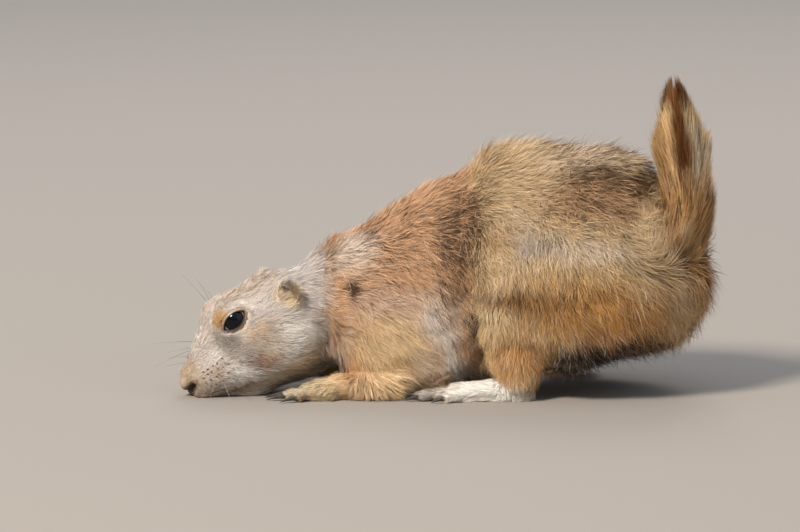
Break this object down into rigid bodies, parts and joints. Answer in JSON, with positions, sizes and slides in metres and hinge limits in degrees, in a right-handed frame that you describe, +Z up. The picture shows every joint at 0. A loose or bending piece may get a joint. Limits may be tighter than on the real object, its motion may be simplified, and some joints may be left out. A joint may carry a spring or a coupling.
{
  "type": "prairie dog model",
  "caption": "Life-size prairie dog crouching with its chin on the ground, its rump raised and its short brushy tail upright, its head and hips turned to its left.",
  "frame": {"origin": "centre of the bounding box in x and y, on the floor under the animal", "axes": "+Z up, -X forward to the nose, -Y to the animal's left side"},
  "size_m": [0.2398, 0.1295, 0.1426],
  "materials": {
    "face_fur": "short pale greyish-cream fur with rufous tints round the eyes",
    "summer_fur": "short rufous summer fur flecked with black-brown",
    "winter_fur": "longer sandy-buff winter fur",
    "paw_fur": "very short cream fur",
    "tail_fur": "long bristly fur, buff at the edges and brown-black at the tip",
    "nose_skin": "fine moist skin",
    "eye": "wet black-brown",
    "claw": "dark horn, slightly glossy"
  },
  "bodies": {
    "root": {"head": "face_fur", "eye_left": "eye", "eye_right": "eye", "ear_left": "face_fur", "ear_right": "face_fur", "nose": "nose_skin", "neck": "summer_fur", "chest": "summer_fur", "loin": "winter_fur", "rump": "winter_fur", "upper_arm_left": "summer_fur", "upper_arm_right": "summer_fur", "forearm_left": "summer_fur", "forearm_right": "summer_fur", "fore_paw_left": "paw_fur", "fore_paw_right": "paw_fur", "thigh_left": "winter_fur", "thigh_right": "winter_fur", "shank_left": "winter_fur", "shank_right": "winter_fur", "hind_foot_left": "paw_fur", "hind_foot_right": "paw_fur", "tail": "tail_fur", "claw_fore_left_1": "claw", "claw_fore_left_2": "claw", "claw_fore_left_3": "claw", "claw_fore_left_4": "claw", "claw_fore_left_5": "claw", "claw_fore_right_1": "claw", "claw_fore_right_2": "claw", "claw_fore_right_3": "claw", "claw_fore_right_4": "claw", "claw_fore_right_5": "claw", "claw_hind_left_1": "claw", "claw_hind_left_2": "claw", "claw_hind_left_3": "claw", "claw_hind_left_4": "claw", "claw_hind_left_5": "claw", "claw_hind_right_1": "claw", "claw_hind_right_2": "claw", "claw_hind_right_3": "claw", "claw_hind_right_4": "claw", "claw_hind_right_5": "claw"}
  },
  "joints": []
}
